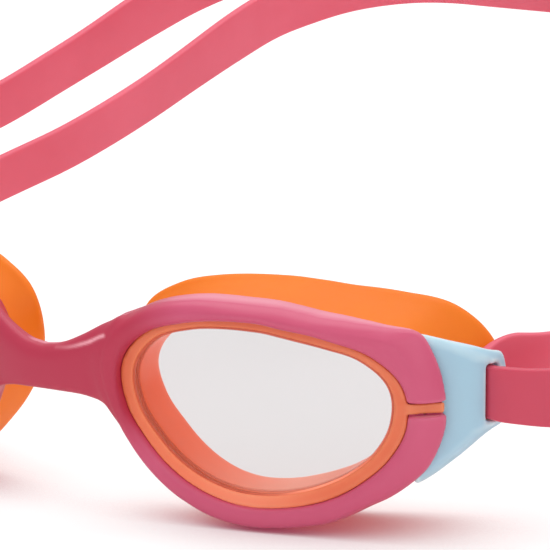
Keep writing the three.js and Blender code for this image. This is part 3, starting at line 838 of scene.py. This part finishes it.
# ----------------------------------------------------------------- end pieces
# outline from above: x, y
end_plan = polygon(cut_corners([
    [64.9, 16.1], [66.1, 16.9], [67.3, 17.6], [69.3, 18.9], [71.2, 20.05], [72.9, 21.4],
    [74.1, 22.65], [74.9, 23.9], [75.35, 25.2], [75.5, 26.8], [75.4, 28.6], [74.9, 29.6],
    [73.9, 29.7], [73.3, 28.9], [72.95, 27.4], [72.3, 25.9], [70.9, 24.2], [69.3, 22.6],
    [67.6, 20.8], [64.9, 18.6], [63.9, 17.7]]))
# outline from the front: x, z
end_front = polygon(cut_corners([
    [62, 36.6], [64.8, 35.9], [67, 35.2], [69.5, 34.25], [71.9, 33.35], [73.4, 32.45],
    [74.4, 31.65], [75.1, 30.75], [75.6, 29.6], [77.5, 28.6], [77.5, 20.5], [75.6, 19.95],
    [75.0, 19.6], [74.2, 19.0], [73.5, 18.2], [72.5, 17.0], [70.9, 15.1], [69.1, 13.3],
    [67.4, 11.6], [65.1, 9.9], [62, 8.4]]))
# the strap's slot from above: x, y
slot_plan = polygon(cut_corners([
    [75.6, 22.9], [74.85, 23.75], [72.3, 25.0], [71.4, 25.3], [72.9, 27.75], [73.8, 27.15],
    [76.4, 26.75], [78, 26.6], [78, 22.9]], 1))


def end_field(x, y, z):
    # a soft scoop that leads the strap into the slot
    scoop = (0.55 * hump(x, 74.6, 1.3) * (y < 25)
             * plateau(z, (SLOT_Z0 - 1.6, SLOT_Z0 + 0.4), (SLOT_Z1 - 0.4, SLOT_Z1 + 1.6)))
    body = soft_max(end_plan(x, y) + scoop, end_front(x, z), 1.5)
    slot_height = np.abs(z - (SLOT_Z0 + SLOT_Z1) / 2) - (SLOT_Z1 - SLOT_Z0) / 2
    return soft_max(body, -soft_max(slot_plan(x, y), slot_height, 0.9), 0.6)


def build_end_pieces():
    shape = surface_nets(end_field, (62.6, 14.8, 8.4), (77.6, 30.4, 36.6),
                         0.22)
    add_pair("end_piece_body", shape, BLUE_PLASTIC, "end_piece")


# ---------------------------------------------------------------------- strap
# Plan of the left side, x outwards. The loop round the post of the end piece: x, y
POST_LOOP = [
    [98.0, 44.6], [96.4, 39.2], [93.2, 34.4], [88.6, 30.3], [83.8, 27.5], [80.0, 25.7],
    [77.4, 24.9], [75.3, 25.0], [73.1, 26.0], [71.0, 27.8], [69.4, 30.2], [68.8, 32.9],
    [69.7, 35.6], [72.2, 37.9], [74.8, 40.6], [76.4, 44.6]]
# runs towards the back, inner and outer: x, distance behind LIFT_Y
INNER = [
    [77.6, 0], [77.4, 7], [76.1, 15], [73.8, 23], [70.2, 31], [65.9, 40], [61.4, 49.5],
    [58.3, 59], [55.5, 70.5], [53, 84], [50.2, 97], [47.2, 107.5]]
OUTER = [
    [99.2, 0], [99, 10], [97.2, 24], [93.8, 38], [89.4, 52], [84.7, 65], [81.2, 79],
    [78, 91], [74.4, 104], [70.4, 115.5], [64.4, 125], [55.5, 131.4], [45, 134.4]]
# the inner run's turn into the back run, which differs between the sides
CORNER_LEFT = [[43.8, 114.6], [39.3, 121], [34, 125.3], [29.5, 127.3], [25, BACK]]
CORNER_RIGHT = [[42.6, 114.6], [37.4, 120.3], [31.1, 124.2], [24.5, 126.6], [17, BACK]]
SLOT_TURN, POST_TURN = (76.3, 24.9), (68.8, 32.9)      # x, y on the loop


def lifted(x, back, up, lift):
    """Points given by distance behind LIFT_Y and above STRAP_Z, tilted up by lift."""
    cosine, sine = np.cos(lift), np.sin(lift)
    return np.stack([x, LIFT_Y + cosine * back - sine * up,
                     STRAP_Z + sine * back + cosine * up], -1)


def half_plan(layer, corner):
    """Plan from the tail's end to the middle of the back; layer 0 is the band itself."""
    back = BACK + LAYER * layer
    tail = [[x, back] for x in (-25, -12, 0, 12, 25)] + [[28, back + 0.1], [34, back + 0.9]]
    return ([[x, y + LIFT_Y] for x, y in tail + OUTER[::-1]] + POST_LOOP
            + [[x, y + LIFT_Y] for x, y in INNER + corner])


def strap_path():
    right = [[-x, y] for x, y in half_plan(1, CORNER_RIGHT)][::-1]
    middle = [[x, BACK + LIFT_Y] for x in (12, 0, -9)]
    path = resample(catmull(half_plan(2, CORNER_LEFT) + middle + right, 14), 1500)
    padded = np.concatenate([np.repeat(path[:1], 6, 0), path, np.repeat(path[-1:], 6, 0)])
    smooth = np.stack([np.convolve(column, bell(13), "valid") for column in padded.T], 1)
    smooth[[0, -1]] = path[[0, -1]]
    return smooth


def strap_stations(path, along):
    """Width, height above STRAP_Z and painted shade along the path."""
    x, y = path.T
    wide = BAND_WIDE + (STRAP_WIDE - BAND_WIDE) * (1 - smooth_step(y, 50.0, 80.0))
    height, deep = np.zeros(len(path)), np.zeros(len(path))
    for side in (1, -1):
        here = side * x > 0
        slot, post = (np.argmin(np.where(here, np.hypot(side * x - turn[0], y - turn[1]), 1e9))
                      for turn in (SLOT_TURN, POST_TURN))
        way = 1 if post > slot else -1
        inner = (along - along[post]) * way            # length along the inner run
        outer = (along - along[slot]) * -way           # length along the outer run
        height += here * 3.1 * plateau(inner, (-3, 7), (14, 55))
        swell = 0.25 * smooth_step(outer, -1, 1) + 0.65 * smooth_step(outer, 0.5, 12)
        wide += here * swell * (1 - smooth_step(outer, 26, 60))
        height -= here * 0.2 * plateau(outer, (0, 8), (26, 60))
        # painted shade: the outer run is darker for a stretch after the slot
        deep += here * plateau(outer, (-6, 2), (14, 45))
    # where the right runs turn to the back of the head the band rolls and shows its upper edge
    for turn_x, turn_y, reach in ((-48.5, 153.0, 17.0), (-75.0, 154.0, 15.0)):
        roll = 1.3 * hump(np.hypot(x - turn_x, y - turn_y), 0, reach)
        wide += roll
        height += roll / 2
    low = hump(np.hypot(x + 81, y - 130), 0, 26)
    wide += 0.4 * low
    height -= 0.15 * low
    return wide, height, deep


def build_strap(corner_round=0.5, end_taper=0.8):
    path = strap_path()
    along = lengths_along(path)
    wide, height, deep = strap_stations(path, along)
    tangent = np.gradient(path, axis=0)
    tangent /= np.linalg.norm(tangent, axis=1, keepdims=True)

    # rounded section: sign of the corner across and up, then direction from its centre
    section = []
    for right, up, first in ((1, 1, 0), (-1, 1, 90), (-1, -1, 180), (1, -1, 270)):
        for turn in np.radians(np.linspace(first, first + 90, 6)):
            section.append([right, up, math.cos(turn), math.sin(turn)])
    section = np.array(section)
    shrink = np.minimum(1, (np.minimum(along, along[-1] - along) / end_taper + 1e-3) ** 0.5)
    half_thick = (STRAP_THICK / 2 * (0.45 + 0.55 * shrink))[:, None]
    half_wide = (wide / 2 - 0.5 * (1 - shrink))[:, None]
    rounding = np.minimum(corner_round, half_thick * 0.9)
    side = section[:, 0] * (half_thick - rounding) + rounding * section[:, 2]
    rise = section[:, 1] * (half_wide - rounding) + rounding * section[:, 3]
    x = path[:, :1] - tangent[:, 1:] * side
    y = path[:, 1:] + tangent[:, :1] * side
    # the band rises behind the end pieces
    lift = LIFT * smooth_step(path[:, 1:], RISE_START, RISE_END)
    points = lifted(x, y - LIFT_Y, height[:, None] + rise, lift).reshape(-1, 3)

    stations, size = len(path), len(section)
    along, deep = np.repeat(along, size), np.repeat(deep, size)
    faces = [grid_faces(stations, size, False, True)]
    for base in (0, (stations - 1) * size):
        points = np.concatenate([points, points[base:base + size].mean(0)[None]])
        along, deep = np.r_[along, along[base]], np.r_[deep, deep[base]]
        centre = np.full(size, len(points) - 1)
        here = base + np.arange(size)
        after = base + (np.arange(size) + 1) % size
        if base == 0:
            here, after = after, here
        faces.append(np.stack([centre, here, after, after], 1))
    faces = outward(points, np.concatenate(faces))
    strap = add_piece(
        "strap_band_one_piece", (points, faces), STRAP_SILICONE,
        ["strap_loop_left", "strap_loop_right", "strap_band", "strap_tail_left",
         "strap_tail_right"], values={"along": along, "deep": deep})
    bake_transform(strap)


# --------------------------------------------------------------------- buckle
# inner and outer face of the tunnel for three layers of strap, behind LIFT_Y
TUNNEL_IN = BACK - STRAP_THICK / 2 - 0.35
TUNNEL_OUT = BACK + 2 * LAYER + STRAP_THICK / 2 + 0.35


def buckle_field(x, back, up, rounding=1.3):
    """x along the back run, back outwards, up across the strap."""
    tunnel_back = np.abs(back - (TUNNEL_IN + TUNNEL_OUT) / 2) - (TUNNEL_OUT - TUNNEL_IN) / 2
    half_tall = BAND_WIDE / 2 + 0.4
    beyond = [np.abs(x) - BUCKLE_LONG / 2 + rounding,
              tunnel_back - BUCKLE_WALL + rounding,
              np.abs(up) - half_tall - BUCKLE_WALL + rounding]
    outside = np.sqrt(sum(np.maximum(part, 0) ** 2 for part in beyond))
    body = outside + np.minimum(np.maximum.reduce(beyond), 0) - rounding
    body = soft_max(body, -soft_max(tunnel_back, np.abs(up) - half_tall, 0.8), 0.7)
    # two windows in the outer wall
    window = soft_max(np.abs(np.abs(x) - 3.6) - 1.8, np.abs(up) - half_tall + 0.6, 1.0)
    window = np.maximum(window, TUNNEL_OUT - 1 - back)
    return soft_max(body, -window, 0.7)


def build_buckle():
    points, faces = surface_nets(buckle_field, (-8, TUNNEL_IN - 2.6, -8),
                                 (8, TUNNEL_OUT + 2.6, 8), 0.22)
    x, back, up = points.T
    points = lifted(x + BUCKLE_X, back, up, LIFT)
    buckle = add_piece("buckle_body", (points, outward(points, faces)), BLUE_PLASTIC,
                       ["rear_buckle"])
    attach(buckle, "buckle")


# ------------------------------------------------------------ stage, in metres
def floor_material():
    """Paper that the camera sees brighter than the light it bounces, clear from below."""
    nodes = Nodes(bpy.data.materials.new("floor_paper"))
    seen = nodes.new("LightPath", output="Is Camera Ray")
    diffuse = nodes.new("BsdfDiffuse", {
        "Color": nodes.mix(seen, (0.93, 0.93, 0.93, 1), (0.40, 0.40, 0.40, 1))})
    # painted shadow: a red-tinted shade mixed into the floor's glow close under the goggles, from
    # ambient occlusion
    shelter = nodes.new("AmbientOcclusion", {"Distance": 0.042}, "AO", samples=8)
    near = nodes.remap(shelter, (0.12, 0.80), to=(1.0, 0.0))
    # dimmer where it is seen through a lens
    through = nodes.math("GREATER_THAN", seen.node.outputs["Transparent Depth"], 0.5)
    behind_lens = nodes.math("SUBTRACT", 1.0, nodes.math("MULTIPLY", through, 0.24))
    emission = nodes.new("Emission", {
        "Color": nodes.mix(near, WHITE, (0.34, 0.03, 0.08, 1)),
        "Strength": nodes.math("MULTIPLY", nodes.math("MULTIPLY", seen, 0.70), behind_lens)})
    return nodes.finish(nodes.mix_shader(
        nodes.new("NewGeometry", output="Backfacing"),
        nodes.new("AddShader", {0: diffuse, 1: emission}), nodes.new("BsdfTransparent")))


def build_floor(half=6.0, level=-0.0004):
    mesh = bpy.data.meshes.new("floor")
    corners = ((-half, -half), (half, -half), (half, half), (-half, half))
    mesh.from_pydata([(x, y, level) for x, y in corners], [], [(0, 1, 2, 3)])
    floor = bpy.data.objects.new("floor", mesh)
    bpy.context.scene.collection.objects.link(floor)
    mesh.materials.append(floor_material())


def build_world():
    """White to the camera; as light, a soft dome that is greyer near the horizon."""
    world = bpy.data.worlds.new("studio")
    bpy.context.scene.world = world
    nodes = Nodes(world, "OutputWorld")
    upward = nodes.new("SeparateXYZ", {0: nodes.new("TexCoord", output="Generated")}, 2)
    dome = nodes.ramp(upward, [(0.0, (0.62, 0.62, 0.63, 1)), (0.75, WHITE)])
    nodes.finish(nodes.mix_shader(
        nodes.new("LightPath", output="Is Camera Ray"),
        nodes.new("Background", {"Color": dome, "Strength": 0.86}),
        nodes.new("Background", {"Color": WHITE, "Strength": 1.0})))


def softbox(name, place, aim, size, watts):
    light = bpy.data.lights.new(name, "AREA")
    light.shape = "RECTANGLE"
    light.size, light.size_y = size
    light.energy = watts
    lamp = bpy.data.objects.new(name, light)
    bpy.context.scene.collection.objects.link(lamp)
    lamp.rotation_euler = (Vector(aim) - Vector(place)).to_track_quat("-Z", "Y").to_euler()
    lamp.location = place


def build_camera(place, turn, tilt_down, focal):
    """turn is about z from looking along +y; angles in degrees, focal length in mm."""
    lens = bpy.data.cameras.new("camera")
    lens.sensor_width = 36.0
    lens.lens = focal
    lens.clip_start, lens.clip_end = 0.05, 50.0
    camera = bpy.data.objects.new("camera", lens)
    bpy.context.scene.collection.objects.link(camera)
    aim = Euler((math.radians(90 - tilt_down), 0, math.radians(turn)))
    camera.matrix_world = Matrix.Translation(place) @ aim.to_matrix().to_4x4()
    bpy.context.scene.camera = camera


build_frame()
build_carriers()
build_lenses()
build_seals()
build_end_pieces()
build_strap()
build_buckle()
build_floor()
build_world()
softbox("key_above", place=(-0.10, 0.12, 1.1), aim=(0.02, -0.03, 0.02), size=(1.1, 0.9),
        watts=5.2)
softbox("fill_front", place=(0.9, -0.9, 0.6), aim=(0.03, -0.06, 0.02), size=(0.9, 0.9),
        watts=1.8)
build_camera(place=(0.454944, -0.741321, 0.210221), turn=32.0, tilt_down=12.0,
             focal=311.563636)
bpy.context.scene.view_settings.view_transform = "Standard"
bpy.context.scene.view_settings.look = "None"
